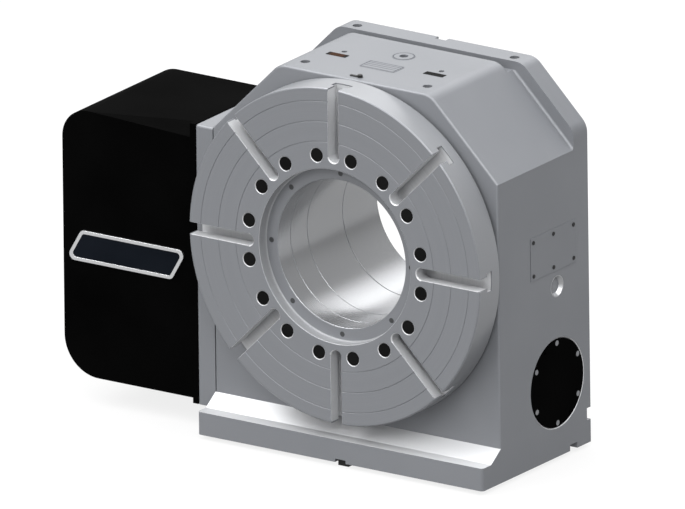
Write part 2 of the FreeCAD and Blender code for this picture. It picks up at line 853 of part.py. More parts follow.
def worm_cover_screws():
    step = 360.0 / worm_screw_count
    screws = []
    for k in range(worm_screw_count):
        y, z = on_worm_circle(step / 2 + step * k)
        seat = Vector(half_width - worm_cover_thickness / 2, y, z)
        screws.append(screw(seat, -ALONG_X, bore_screw_head_radius, worm_cover_thickness / 2,
                            bore_screw_radius, worm_cover_thickness * 2))
    return screws


def worm_end_cover(screws):
    """Round cover with a spigot that holds the worm bearings in."""
    seat_x = half_width - worm_cover_thickness
    spigot_x = right_bearing_x + 2 * worm_bearing_width
    outer = worm_bore_radius - worm_cover_fit
    spigot = bar(outer, spigot_x, seat_x).cut(bar(outer - worm_cover_wall, spigot_x, seat_x))
    cover = bar(worm_cover_radius, seat_x, half_width).fuse(spigot)
    jacks = []
    for angle in (120, 300):
        y, z = on_worm_circle(angle)
        jacks.append(bar(jack_hole_radius, seat_x, half_width, y, z))
    return cover.cut(screws + jacks)


# Spur gears

def involute(angle):
    return math.tan(angle) - angle


def spur_gear(teeth, bore, y, z, tooth_angle):
    """Gear on an axis along X, with one tooth centred on tooth_angle (radians from +Y to +Z)."""
    pitch = gear_module * teeth / 2
    base = pitch * math.cos(math.radians(pressure_angle))
    radii = [pitch - 1.25 * gear_module, pitch, pitch + gear_module]
    half_pitch_angle = math.pi / 2 / teeth - gear_backlash / 2 / pitch
    halves = []
    for radius in radii:
        roll = math.acos(min(1.0, base / radius))
        halves.append(half_pitch_angle + involute(math.radians(pressure_angle)) - involute(roll))
    flank = [(-half, radius) for half, radius in zip(halves, radii)]
    flank += [(half, radius) for half, radius in zip(halves[::-1], radii[::-1])]
    points = []
    for k in range(teeth):
        for offset, radius in flank:
            turn = tooth_angle + 2 * math.pi * k / teeth + offset
            points.append((y + radius * math.cos(turn), z + radius * math.sin(turn)))
    return prism_x(points, gear_x0, gear_x1).cut(bar(bore, gear_x0, gear_x1, y, z))


def centre_line_angle():
    return math.atan2(motor_z - worm_z, motor_y - worm_y)


def worm_spur_gear():
    return spur_gear(gear_teeth, worm_end_radius, worm_y, worm_z, centre_line_angle())


def motor_pinion():
    facing_gap = centre_line_angle() + math.pi + math.pi / pinion_teeth
    return spur_gear(pinion_teeth, motor_shaft_radius, motor_y, motor_z, facing_gap)


# Drive case and motor plate

def drive_slab(x0, x1):
    return box(x0, x1, body_y, back_y, case_bottom, case_top)


def gear_case():
    """Frame round the spur gears, closed by the housing on one side and the motor plate on the other."""
    pinion_space = gear_module * (pinion_teeth / 2 + 1) + gear_room
    room = bar(gear_space, motor_plate_x, drive_x)
    room = room.fuse(bar(pinion_space, motor_plate_x, drive_x, motor_y, motor_z))
    bridge = box(motor_plate_x, drive_x, worm_y - pinion_space, worm_y + pinion_space,
                 worm_z, worm_z + gear_distance)
    turn = math.degrees(centre_line_angle()) - 90
    bridge.rotate(Vector(0, worm_y, worm_z), ALONG_X, turn)
    slab = drive_slab(motor_plate_x, drive_x)

    def is_outer_edge(edge):
        point = middle(edge)
        sides = [near(point.x, motor_plate_x), near(point.y, body_y), near(point.z, case_top)]
        return sum(sides) == 2

    return round_edges(slab, case_edge_fillet, is_outer_edge).cut([room, bridge])


def motor_plate(holes):
    plate = drive_slab(motor_x, motor_plate_x)
    return plate.cut([bar(motor_pilot_radius, motor_x, motor_plate_x, motor_y, motor_z)] + holes)


# Servo motor

def rounded_block(x0, x1, side, radius):
    half = side / 2
    block = box(x0, x1, motor_y - half, motor_y + half, motor_z - half, motor_z + half)
    return round_edges(block, radius, lambda edge: runs_along(edge, ALONG_X))


def motor_screw_places():
    reach = (motor_flange_side - motor_corner_radius) / 2
    return [(motor_y + side_y * reach, motor_z + side_z * reach) for side_y in (-1, 1) for side_z in (-1, 1)]


def motor_screws():
    seat_x = motor_x - motor_flange_thickness
    length = motor_flange_thickness + motor_plate_thickness
    return [screw(Vector(seat_x, y, z), ALONG_X, table_bolt_shank_radius, bore_screw_head_height,
                  bore_screw_head_radius, length) for y, z in motor_screw_places()]


def motor_body(screws):
    """Flange, stator body and pilot in one casting, hollow for the rotor."""
    body_x = motor_x - motor_flange_thickness
    end_x = body_x - motor_body_length
    flange = rounded_block(body_x, motor_x, motor_flange_side, motor_corner_radius / 2)
    stator = rounded_block(end_x, body_x, motor_body_side, motor_corner_radius)
    pilot = bar(motor_pilot_radius, motor_x, motor_x + motor_pilot_height, motor_y, motor_z)
    room = bar(rotor_radius + rotor_clearance, end_x + motor_end_wall, body_x, motor_y, motor_z)
    shaft_hole = bar(motor_shaft_radius + rotor_clearance, body_x, motor_x + motor_pilot_height,
                     motor_y, motor_z)
    half = motor_corner_radius / 2
    corners = [box(end_x, body_x, y - half, y + half, z - half, z + half) for y, z in motor_screw_places()]
    return stator.cut(corners).fuse([flange, pilot]).cut([room, shaft_hole] + screws)


def motor_rotor():
    body_x = motor_x - motor_flange_thickness
    end_x = body_x - motor_body_length + motor_end_wall + rotor_clearance
    shaft = bar(motor_shaft_radius, body_x - rotor_clearance, gear_x1, motor_y, motor_z)
    return bar(rotor_radius, end_x, body_x - rotor_clearance, motor_y, motor_z).fuse(shaft)


def motor_encoder_cap():
    end_x = motor_x - motor_flange_thickness - motor_body_length
    cap = rounded_block(end_x - encoder_length, end_x, encoder_side, motor_corner_radius)
    far_x = end_x - encoder_length
    return round_edges(cap, motor_corner_radius / 4, lambda edge: near(middle(edge).x, far_x))


def motor_connectors():
    """Two angled plug sockets on the motor's top: power and feedback."""
    end_x = motor_x - motor_flange_thickness - motor_body_length
    seats = [(end_x + motor_body_length / 2, motor_z + motor_body_side / 2),
             (end_x - encoder_length / 2, motor_z + encoder_side / 2)]
    sockets = []
    for x, z in seats:
        base_y = motor_y - connector_base / 2
        reach = min(connector_base, encoder_length - connector_edge) / 2
        base = box(x - reach, x + reach, base_y, base_y + connector_base, z, z + connector_height)
        socket = disc(connector_radius * 0.75, base_y + connector_base,
                      base_y + connector_base + connector_length, x, z + connector_height / 2)
        sockets.append(base.fuse(socket))
    return sockets


# Motor cover

def cover_block(inset):
    """Block with two large rounds on its outer side, inset on all walls but the open one."""
    x0 = cover_x + inset
    block = box(x0, motor_x, body_y + inset, back_y - inset, cover_bottom + inset, cover_top - inset)

    def outer_edge(edge, z):
        return runs_along(edge, ALONG_Y) and near(edge.CenterOfMass.x, x0) and near(edge.CenterOfMass.z, z)

    block = round_edges(block, cover_top_radius - inset, lambda edge: outer_edge(edge, cover_top - inset))
    return round_edges(block, cover_bottom_radius - inset,
                       lambda edge: outer_edge(edge, cover_bottom + inset))


def cover_bevel(shift):
    """Corner wedge that slopes the top down towards the front beside the housing."""
    z = cover_top - shift
    y = body_y + shift
    low = Vector(motor_x, y, z - cover_bevel_drop)
    far = Vector(motor_x, y + cover_bevel_depth, z)
    left = Vector(motor_x - cover_bevel_length, y, z)
    high = Vector(motor_x, y, z)
    faces = [polygon([low, far, high]), polygon([low, high, left]), polygon([far, left, high])]
    faces.append(polygon([low, left, far]))
    return Part.makeSolid(Part.makeShell(faces))


def gland_places():
    middle_x = (cover_x + motor_x) / 2
    return [(middle_x + side * gland_pitch / 2, gland_height) for side in (-1, 1)]


def motor_cover(screws):
    skin = cover_block(0).cut(cover_bevel(0))
    hollow = cover_block(cover_wall).cut(cover_bevel(cover_wall))
    holes = [disc(gland_bore, back_y - cover_wall, back_y, x, z) for x, z in gland_places()]
    return skin.cut([hollow] + holes + screws)


def bracket_heights():
    return [cover_bottom + cover_bottom_radius, cover_top - cover_top_radius]


def cover_brackets(screws):
    """Blocks on the motor plate that the cover's back wall is screwed to."""
    inner_y = back_y - cover_wall
    half = bracket_size / 2
    blocks = []
    for z in bracket_heights():
        block = box(motor_x - bracket_size, motor_x, inner_y - half, inner_y, z - half, z + half)
        blocks.append(block.cut(screws))
    return blocks


def cover_screws():
    seats = [Vector(motor_x - bracket_size / 2, back_y, z) for z in bracket_heights()]
    return [screw(seat, -ALONG_Y, key_screw_head_radius, bore_screw_radius,
                  key_screw_radius, bracket_size / 2) for seat in seats]


def cable_glands():
    """Two empty cable glands through the cover's back wall."""
    glands = []
    for x, z in gland_places():
        body = disc(gland_radius, back_y, back_y + gland_length, x, z)
        neck = disc(gland_bore, back_y - cover_wall * 2, back_y, x, z)
        bore = disc(gland_bore - gland_wall, back_y - cover_wall * 2, back_y + gland_length, x, z)
        glands.append(body.fuse(neck).cut(bore))
    return glands


# Badge, plates and labels

def badge_slab(border, y0, y1):
    """Slanted four-sided plate with rounded corners on the cover's front."""
    left = cover_x + badge_from_cover_left
    top = axis_z - badge_top_below_axis - border
    bottom = axis_z - badge_top_below_axis - badge_height + border
    lean = badge_slant / badge_height
    side = border * math.hypot(1, lean)
    corners = [(left + side - lean * border, top), (left + badge_length - side - lean * border, top)]
    corners += [(left + badge_length - side - badge_slant + lean * border, bottom)]
    corners += [(left + side - badge_slant + lean * border, bottom)]
    slab = prism_y(corners, y0, y1)
    radius = badge_corner_radius - border * 0.7
    return round_edges(slab, radius, lambda edge: runs_along(edge, ALONG_Y))


def badge_rim():
    front = body_y - badge_thickness
    recess = badge_slab(badge_border, front, front + badge_inlay_depth)
    return badge_slab(0, front, body_y).cut(recess)


def badge_inlay():
    front = body_y - badge_thickness
    return badge_slab(badge_border, front + badge_inlay_depth / 2, front + badge_inlay_depth)


def side_plate_screws():
    y = back_y - side_plate_from_back
    screws = []
    for column in (-1, 0, 1):
        for row in (-1, 1):
            seat = Vector(half_width + side_plate_thickness, y + column * side_screw_pitch_y,
                          axis_z + row * side_screw_pitch_z / 2)
            screws.append(screw(seat, -ALONG_X, bore_screw_radius, side_plate_thickness,
                                key_screw_radius / 2, bore_screw_head_height))
    return screws


def side_plate(screws):
    y = back_y - side_plate_from_back
    half = side_plate_length / 2
    tall = side_plate_height / 2
    plate = box(half_width, half_width + side_plate_thickness,
                y - half, y + half, axis_z - tall, axis_z + tall)
    return plate.cut(screws)


def sight_glass_bezel():
    """Ring let into the side, dished towards its glass."""
    floor_x = half_width - sight_depth
    dish_x = half_width - sight_dish
    outline = [(floor_x, sight_hole_radius), (floor_x, sight_outer_radius), (half_width, sight_outer_radius)]
    outline += [(half_width, sight_outer_radius - 1), (dish_x, sight_glass_radius)]
    outline += [(dish_x - sight_lens_thickness, sight_glass_radius)]
    outline += [(dish_x - sight_lens_thickness, sight_hole_radius)]
    return revolve_x(outline, back_y - sight_from_back, axis_z - sight_below_axis)


def sight_glass_lens():
    dish_x = half_width - sight_dish
    return bar(sight_glass_radius, dish_x - sight_lens_thickness, dish_x,
               back_y - sight_from_back, axis_z - sight_below_axis)


def spec_plate():
    y = back_y - spec_plate_from_back
    half = spec_plate_length / 2
    wide = spec_plate_width / 2
    plate = box(-half, half, y - wide, y + wide, top_z, top_z + label_thickness)
    return round_edges(plate, spec_corner_radius, lambda edge: runs_along(edge, ALONG_Z))


def filler_label():
    y = back_y - filler_from_back
    label = post(filler_label_radius, top_z, top_z + label_thickness, 0, y)
    return label.cut(post(filler_radius, top_z, top_z + label_thickness, 0, y))


def port_label(side):
    x = side * port_x
    y = back_y - label_from_back
    return box(x - label_length / 2, x + label_length / 2, y - label_width / 2, y + label_width / 2,
               top_z, top_z + label_thickness)


def index_pointer():
    """Thin pointer with a screw knob, at the front of the top face."""
    y = body_y + pointer_from_front
    x0 = pointer_x - pointer_length / 2
    arm = box(x0, x0 + pointer_length, y - pointer_width / 2, y + pointer_width / 2,
              top_z, top_z + pointer_thickness)
    knob = post(pointer_knob_radius, top_z, top_z + pointer_thickness + pointer_knob_height,
                x0 + pointer_length - pointer_knob_radius, y)
    return arm.fuse(knob)


# Guide keys under the base

def key_ends():
    front = front_y + key_setback
    back = back_y - key_setback
    length = min(key_length, front_key_pocket - key_setback)
    rear_length = min(key_length, cross_keyway_from_back - key_setback)
    return [(front, front + length), (back - rear_length, back)]


def guide_key_screws():
    screws = []
    for y0, y1 in key_ends():
        seat = Vector(0, (y0 + y1) / 2, -key_drop + key_screw_head_height)
        screws.append(screw(seat, ALONG_Z, key_screw_head_radius, key_screw_head_height,
                            key_screw_radius, keyway_depth * 2))
    return screws


def guide_keys(screws):
    half = keyway_width / 2
    tops = (front_key_depth, keyway_depth)
    return [box(-half, half, y0, y1, -key_drop, top).cut(screws) for (y0, y1), top in zip(key_ends(), tops)]


def main():
    os.makedirs("parts", exist_ok=True)
    table_bolt_set = table_bolts()
    bore_screw_set = bore_ring_screws()
    sleeve_bolt_set = sleeve_bolts()
    hub_bolt_set = hub_bolts()
    clamp_screw_set = clamp_ring_screws()
    brake_screw_set = brake_screws()
    rear_screw_set = rear_cover_screws()
    worm_screw_set = worm_cover_screws()
    motor_screw_set = motor_screws()
    cover_screw_set = cover_screws()
    side_screw_set = side_plate_screws()
    key_screw_set = guide_key_screws()
    inner_rings, outer_rings = worm_bearings()

    housing_screws = clamp_screw_set + rear_screw_set + worm_screw_set + side_screw_set + key_screw_set
    save("housing", housing(housing_screws))
    save("faceplate", faceplate(table_bolt_set))
    save("table_bolts", table_bolt_set)
    save("bolt_hole_plugs", bolt_hole_plugs())
    save("bore_ring", bore_ring(bore_screw_set))
    save("bore_ring_screws", bore_screw_set)
    save("spindle_flange", spindle_flange(table_bolt_set + bore_screw_set + sleeve_bolt_set))
    save("spindle_sleeve", spindle_sleeve(sleeve_bolt_set + hub_bolt_set))
    save("sleeve_bolts", sleeve_bolt_set)
    save("wheel_hub", wheel_hub(hub_bolt_set))
    save("hub_bolts", hub_bolt_set)
    save("main_bearing_inner_ring", main_bearing_inner_ring())
    save("main_bearing_outer_ring", main_bearing_outer_ring())
    save("main_bearing_rollers", crossed_cylinders(roller_size))
    save("main_bearing_spacers", main_bearing_spacers())
    save("bearing_clamp_ring", bearing_clamp_ring(clamp_screw_set))
    save("clamp_ring_screws", clamp_screw_set)
    save("front_seal", front_seal())
    save("brake_cylinder", brake_cylinder(brake_screw_set))
    save("brake_piston", brake_piston())
    save("brake_disc", brake_disc())
    save("brake_reaction_ring", brake_reaction_ring(brake_screw_set))
    save("brake_screws", brake_screw_set)
    save("rear_cover", rear_cover(rear_screw_set))
    save("rear_cover_screws", rear_screw_set)
    save("rear_seal", rear_seal())
    save("worm_wheel", worm_wheel())
    save("worm_shaft", worm_shaft())
    save("worm_bearing_inner_rings", inner_rings)
    save("worm_bearing_outer_rings", outer_rings)
    save("worm_lock_nut", worm_lock_nut())
    save("worm_seal", worm_seal())
    save("worm_end_cover", worm_end_cover(worm_screw_set))
    save("worm_cover_screws", worm_screw_set)
    save("spur_gear", worm_spur_gear())
    save("motor_pinion", motor_pinion())
    save("gear_case", gear_case())
    save("motor_plate", motor_plate(motor_screw_set))
    save("motor_body", motor_body(motor_screw_set))
    save("motor_rotor", motor_rotor())
    save("motor_encoder_cap", motor_encoder_cap())
    save("motor_connectors", motor_connectors())
    save("motor_screws", motor_screw_set)
    save("motor_cover", motor_cover(cover_screw_set))
    save("cover_brackets", cover_brackets(cover_screw_set))
    save("cover_screws", cover_screw_set)
    save("cable_glands", cable_glands())
    save("badge_rim", badge_rim())
    save("badge_inlay", badge_inlay())
    save("side_plate", side_plate(side_screw_set))
    save("side_plate_screws", side_screw_set)
    save("sight_glass_bezel", sight_glass_bezel())
    save("sight_glass_lens", sight_glass_lens())
    save("spec_plate", spec_plate())
    save("filler_label", filler_label())
    save("clamp_port_label", port_label(-1))
    save("unclamp_port_label", port_label(1))
    save("index_pointer", index_pointer())
    save("guide_keys", guide_keys(key_screw_set))
    save("guide_key_screws", key_screw_set)


main()
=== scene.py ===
"""Rotary table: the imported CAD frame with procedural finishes, a pale floor, studio light and a camera."""

import json
import math

import bmesh
import bpy
from mathutils import Matrix, Vector


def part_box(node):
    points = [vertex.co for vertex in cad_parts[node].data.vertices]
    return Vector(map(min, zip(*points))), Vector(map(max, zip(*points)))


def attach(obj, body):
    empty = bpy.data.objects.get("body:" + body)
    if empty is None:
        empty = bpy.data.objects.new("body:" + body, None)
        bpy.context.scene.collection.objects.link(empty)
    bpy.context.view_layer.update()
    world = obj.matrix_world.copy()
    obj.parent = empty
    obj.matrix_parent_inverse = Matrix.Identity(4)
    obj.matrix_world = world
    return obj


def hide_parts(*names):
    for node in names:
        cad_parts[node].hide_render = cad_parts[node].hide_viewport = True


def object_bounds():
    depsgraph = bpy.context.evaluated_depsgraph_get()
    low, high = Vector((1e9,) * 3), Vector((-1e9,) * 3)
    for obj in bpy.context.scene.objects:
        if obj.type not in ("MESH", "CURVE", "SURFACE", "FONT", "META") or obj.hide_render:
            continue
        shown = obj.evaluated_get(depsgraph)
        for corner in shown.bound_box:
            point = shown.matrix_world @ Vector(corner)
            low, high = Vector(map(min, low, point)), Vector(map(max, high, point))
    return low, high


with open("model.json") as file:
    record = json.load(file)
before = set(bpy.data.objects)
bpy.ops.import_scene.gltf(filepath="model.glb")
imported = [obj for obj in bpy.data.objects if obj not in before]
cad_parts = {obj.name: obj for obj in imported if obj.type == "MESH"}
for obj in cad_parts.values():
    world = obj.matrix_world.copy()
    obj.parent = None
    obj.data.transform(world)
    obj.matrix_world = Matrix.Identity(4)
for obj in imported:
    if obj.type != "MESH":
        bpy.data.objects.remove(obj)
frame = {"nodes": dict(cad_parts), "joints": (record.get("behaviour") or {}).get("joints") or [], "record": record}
cad_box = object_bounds()
nodes = frame["nodes"]
scene = bpy.context.scene

# The photograph's frame and the place of the plate's centre in it
IMAGE_WIDTH_PX = 685
IMAGE_HEIGHT_PX = 509
PLATE_CENTRE_PX = (334.63, 257.0)
PIXELS_PER_METRE = 704.7

# The view in degrees, and the camera's distance in metres
VIEW_AZIMUTH = 34.54
VIEW_ELEVATION = 18.18
VIEW_ROLL = 0.678
CAMERA_DISTANCE = 4.0

# The floor in metres, and its glow: more for the camera than onto the part, so shadows on it stay faint
FLOOR_SIZE = 30.0
FLOOR_DROP = 0.0002
FLOOR_GLOW = 0.40
FLOOR_SEEN = 0.83

# Studio light: soft panels on a dim surround, each with a direction, the cosine at its edge and a strength
BACKDROP_STRENGTH = 1.0
AMBIENT_STRENGTH = 0.10
LIGHT_PANELS = {
    "above": ((-0.20, -0.16, 0.95), 0.55, 3.8),
    "behind_right": ((0.42, 0.78, 0.42), 0.80, 0.5),
    "behind_left": ((-0.46, 0.78, 0.42), 0.82, 1.2),
    "front_high": ((0.44, -0.60, 0.67), 0.95, 7.0),
    "front_left": ((-0.30, -0.85, 0.42), 0.85, 3.3),
    "right_high": ((0.60, 0.10, 0.80), 0.80, 3.0),
    "front_right": ((0.54, -0.78, 0.31), 0.85, 1.6),
    "behind_high": ((-0.16, 0.78, 0.59), 0.92, 1.5),
    "left_high": ((-0.54, -0.31, 0.78), 0.95, 7.0),
}


def joint_place(name):
    """The point that a joint turns about."""
    return Vector(next(j for j in frame["joints"] if j["name"] == name)["pos_m"])


plate_low, plate_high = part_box("faceplate")
plate_radius = (plate_high.x - plate_low.x) / 2
axis_place = joint_place("table_turn")
plate_centre = Vector((axis_place.x, plate_low.y, axis_place.z))
body_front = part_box("gear_case")[0].y

# The pieces that line the through bore, and its radius in metres
BORE_PIECES = ("bore_ring", "spindle_flange", "spindle_sleeve", "wheel_hub")
BORE_RADIUS = 0.110

# Widths of the broken edges, and where the plug holes lie, in metres
PLATE_CHAMFER = 0.0007
PLUG_CHAMFER = 0.0014
PLUG_CIRCLE = 0.150
PLUG_REACH = 0.012
BORE_CHAMFER = 0.0008
RIM_CHAMFER = 0.0020

# Circles scribed on the faceplate, in metres, and the steps around each
SCRIBED_CIRCLES = (0.170, 0.200, 0.230)
SCRIBE_HALF_WIDTH = 0.0008
SCRIBE_DEPTH = 0.0008
SCRIBE_STEPS = 240

# Tolerances for merging points and finding edges, in metres
MERGE_DISTANCE = 1e-6
PLACE_TOLERANCE = 1e-5
BORE_TOLERANCE = 2e-4
COVER_TOLERANCE = 1e-3

# Angles in degrees: below the first, faces join as one, and below the second, edges shade as smooth
FLAT_ANGLE = 0.05
SMOOTH_ANGLE = 20

# Places where a finish changes or painted light begins, in metres
LEDGE_BACK = body_front + 0.001
LEDGE_TOP = 0.056
FACE_SKIN = 0.0003
RIM_SKIN = 0.002
RIM_DEPTH = 0.0004
SLOT_START = 0.132
RECESS_RADIUS = 0.131
POLISHED_DEPTH = 0.0002

# Limits on a face's normal: Z for the ledge, its slope and its flat, Y for the plate's front and edges
LEDGE_NORMAL_Z = 0.5
SLOPE_NORMAL_Z = 0.85
FLAT_NORMAL_Z = 0.98
FRONT_NORMAL_Y = -0.99
EDGE_NORMAL_Y_LOW = -0.9
EDGE_NORMAL_Y_HIGH = -0.62

# Shares: the ruled lines along the plate on top, and the dark ends of the brown label
RULED_LINES = (0.0, 0.3, 0.55, 0.8, 1.0)
FIELD_INSET_SHARE = 0.14

# Inked lines and rings, in metres
RULE_INSET = 0.0012
RULE_WIDTH = 0.0015
INKED_RINGS = ((0.0052, 0.0066), (0.0142, 0.0158))

# Values of the finishes; a pair is the darker and lighter tone, or the lower and higher roughness
COOL_CAST = 0.012
GROUND_TONES = (0.15, 0.168)
GROUND_METALLIC = 0.25
# Painted light in the plate's slots, where shade falls, and painted highlights on its broken edges
SLOT_AND_EDGE_PAINTED_TONES = (0.44, 0.5)
PLATE_TONES = (0.145, 0.155)
PLATE_ROUGHNESS = (0.38, 0.48)
INK_TONES = (0.004, 0.008)
BROWN_COLOURS = ((0.022, 0.0075, 0.002), (0.03, 0.0105, 0.003))
LENS_IOR = 1.47

# Scales of the noise, in cells per metre
TONE_SCALE = 9.0
FINE_SCALE = 900
TURNED_SCALE = 900
POLISHED_SCALE = 1400
PRINT_SCALE = 300
LENS_SCALE = 60

# Relief: the usual grain's strength and depth, the finer depth, and radii that soften edges in shading
GRAIN_RELIEF = (0.1, 0.0002)
FINE_DEPTH = 0.0001
EDGE_RADIUS = 0.0006
PLATE_EDGE_RADIUS = 0.001
EDGE_SAMPLES = 6

# The mix node's sockets for colours
MIX_FIRST = 6
MIX_SECOND = 7
MIX_RESULT = 2


def new_material(name, metallic, roughness, specular=0.5):
    """A node material with its constants on the shader; colour and bump are linked later."""
    material = bpy.data.materials.new(name)
    material.use_nodes = True
    shader = material.node_tree.nodes["Principled BSDF"]
    shader.inputs["Metallic"].default_value = metallic
    shader.inputs["Roughness"].default_value = roughness
    shader.inputs["Specular IOR Level"].default_value = specular
    return material, shader


def add(material, kind):
    return material.node_tree.nodes.new(kind)


def link(material, output, target):
    material.node_tree.links.new(output, target)


def position(material, scale=(1, 1, 1), centre=(0, 0, 0)):
    """Object coordinates, shifted to a centre and stretched, as the input of a texture."""
    coordinates = add(material, "ShaderNodeTexCoord")
    mapping = add(material, "ShaderNodeMapping")
    mapping.vector_type = "POINT"
    mapping.inputs["Scale"].default_value = scale
    mapping.inputs["Location"].default_value = [-c * s for c, s in zip(centre, scale)]
    link(material, coordinates.outputs["Object"], mapping.inputs["Vector"])
    return mapping.outputs["Vector"]


def split(material, vector):
    """The X, Y and Z of a vector."""
    parts = add(material, "ShaderNodeSeparateXYZ")
    link(material, vector, parts.inputs["Vector"])
    return parts.outputs


def true_normal(material):
    """The X, Y and Z of the face's own normal."""
    return split(material, add(material, "ShaderNodeNewGeometry").outputs["True Normal"])


def distance_from(material, centre, across):
    """The distance from a centre, counted along the axes that are marked 1."""
    length = add(material, "ShaderNodeVectorMath")
    length.operation = "LENGTH"
    link(material, position(material, across, centre), length.inputs[0])
    return length.outputs["Value"]


def radius_from_axis(material):
    """The distance from the table's axis."""
    return distance_from(material, axis_place, (1, 0, 1))


def noise(material, vector, scale, detail=3.0):
    node = add(material, "ShaderNodeTexNoise")
    node.inputs["Scale"].default_value = scale
    node.inputs["Detail"].default_value = detail
    link(material, vector, node.inputs["Vector"])
    return node.outputs["Fac"]


def turned_marks(material, scale=TURNED_SCALE):
    """Noise that varies only with the distance from the table's axis and along it, as a lathe leaves it."""
    marks = add(material, "ShaderNodeCombineXYZ")
    along = split(material, position(material, centre=axis_place))["Y"]
    link(material, radius_from_axis(material), marks.inputs["X"])
    link(material, along, marks.inputs["Y"])
    return noise(material, marks.outputs["Vector"], scale, detail=2.0)


def grey(value, cool=COOL_CAST):
    """A neutral colour with a slight cool cast."""
    return (value - cool / 2, value, value + cool)


def greys(low, high, cool=COOL_CAST):
    return grey(low, cool), grey(high, cool)


def ramp(material, value, low, high, low_place=0.3, high_place=0.7):
    """Turns a 0 to 1 value into a blend of two colours."""
    node = add(material, "ShaderNodeValToRGB")
    first, last = node.color_ramp.elements
    first.position, last.position = low_place, high_place
    first.color, last.color = (*low, 1), (*high, 1)
    link(material, value, node.inputs["Fac"])
    return node.outputs["Color"]


def spread(material, value, low, high):
    """Maps a 0 to 1 value to a range."""
    node = add(material, "ShaderNodeMapRange")
    node.inputs["To Min"].default_value = low
    node.inputs["To Max"].default_value = high
    link(material, value, node.inputs["Value"])
    return node.outputs["Result"]


def mask_where(material, *tests):
    """A mask that is 1 where every test holds; a test is a value, LESS_THAN or GREATER_THAN, and a limit."""
    mask = None
    for value, operation, limit in tests:
        test = add(material, "ShaderNodeMath")
        test.operation = operation
        test.inputs[1].default_value = limit
        link(material, value, test.inputs[0])
        if mask is None:
            mask = test.outputs["Value"]
            continue
        both = add(material, "ShaderNodeMath")
        both.operation = "MULTIPLY"
        link(material, mask, both.inputs[0])
        link(material, test.outputs["Value"], both.inputs[1])
        mask = both.outputs["Value"]
    return mask


def blend_colours(material, mask, first, second):
    """The second colour where the mask is 1, and the first elsewhere."""
    node = add(material, "ShaderNodeMix")
    node.data_type = "RGBA"
    link(material, mask, node.inputs["Factor"])
    link(material, first, node.inputs[MIX_FIRST])
    link(material, second, node.inputs[MIX_SECOND])
    return node.outputs[MIX_RESULT]


def bump(material, shader, height, strength, distance=FINE_DEPTH, edge=EDGE_RADIUS):
    """Fine relief from a height, on edges that are softened by a small radius."""
    softened = add(material, "ShaderNodeBevel")
    softened.samples = EDGE_SAMPLES
    softened.inputs["Radius"].default_value = edge
    node = add(material, "ShaderNodeBump")
    link(material, softened.outputs["Normal"], node.inputs["Normal"])
    node.inputs["Strength"].default_value = strength
    node.inputs["Distance"].default_value = distance
    link(material, height, node.inputs["Height"])
    link(material, node.outputs["Normal"], shader.inputs["Normal"])


def shaded(name, colours, metallic, rough, grain, grain_scale=(1, 1, 1), relief=GRAIN_RELIEF, specular=0.5):
    """A finish with slow colour variation, fine roughness variation and a fine grain in its bump."""
    material, shader = new_material(name, metallic, sum(rough) / 2, specular)
    tone = noise(material, position(material), TONE_SCALE)
    fine = noise(material, position(material, grain_scale), grain)
    link(material, ramp(material, tone, *colours), shader.inputs["Base Color"])
    link(material, spread(material, fine, *rough), shader.inputs["Roughness"])
    bump(material, shader, fine, *relief)
    return material


def make_ground_steel():
    """Turned metal: fine tool marks about the table's axis in its tone, roughness and bump."""
    rough = (0.3, 0.4)
    material, shader = new_material("ground_steel", GROUND_METALLIC, sum(rough) / 2)
    marks = turned_marks(material)
    link(material, ramp(material, marks, *greys(*GROUND_TONES)), shader.inputs["Base Color"])
    link(material, spread(material, marks, *rough), shader.inputs["Roughness"])
    bump(material, shader, marks, strength=0.05)
    return material


def make_casting():
    """Smooth satin grey, with painted light on the clamping ledge along the front and a painted highlight on the
    rim of the side bore.
    """
    material, shader = new_material("casting", metallic=0.2, roughness=0.4)
    tone = noise(material, position(material), TONE_SCALE)
    fine = noise(material, position(material), FINE_SCALE)
    place = split(material, position(material))
    up = true_normal(material)["Z"]
    # Painted light: the clamping ledge along the front is a lighter copy of the casting
    ledge = mask_where(material, (place["Y"], "LESS_THAN", LEDGE_BACK), (place["Z"], "LESS_THAN", LEDGE_TOP),
                       (up, "GREATER_THAN", LEDGE_NORMAL_Z))
    # Painted highlight: a bright tone on the chamfered rim of the bore that holds the round side cover
    cover_low, cover_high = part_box("worm_end_cover")
    cover_radius = (cover_high.z - cover_low.z) / 2
    from_cover = distance_from(material, (cover_low + cover_high) / 2, (0, 1, 1))
    rim = mask_where(material, (place["X"], "GREATER_THAN", cover_high.x - RIM_CHAMFER),
                     (from_cover, "LESS_THAN", cover_radius + RIM_CHAMFER))
    satin = ramp(material, tone, *greys(0.148, 0.158))
    # The ledge's painted light is brighter on its forward slope than on its flat, as the light falls
    painted_ledge_light = ramp(material, up, *greys(0.56, 0.45), SLOPE_NORMAL_Z, FLAT_NORMAL_Z)
    rim_painted_highlight = ramp(material, fine, *greys(0.5, 0.56))
    surface = blend_colours(material, ledge, satin, painted_ledge_light)
    link(material, blend_colours(material, rim, surface, rim_painted_highlight), shader.inputs["Base Color"])
    link(material, spread(material, fine, low=0.36, high=0.46), shader.inputs["Roughness"])
    bump(material, shader, fine, strength=0.06)
    return material


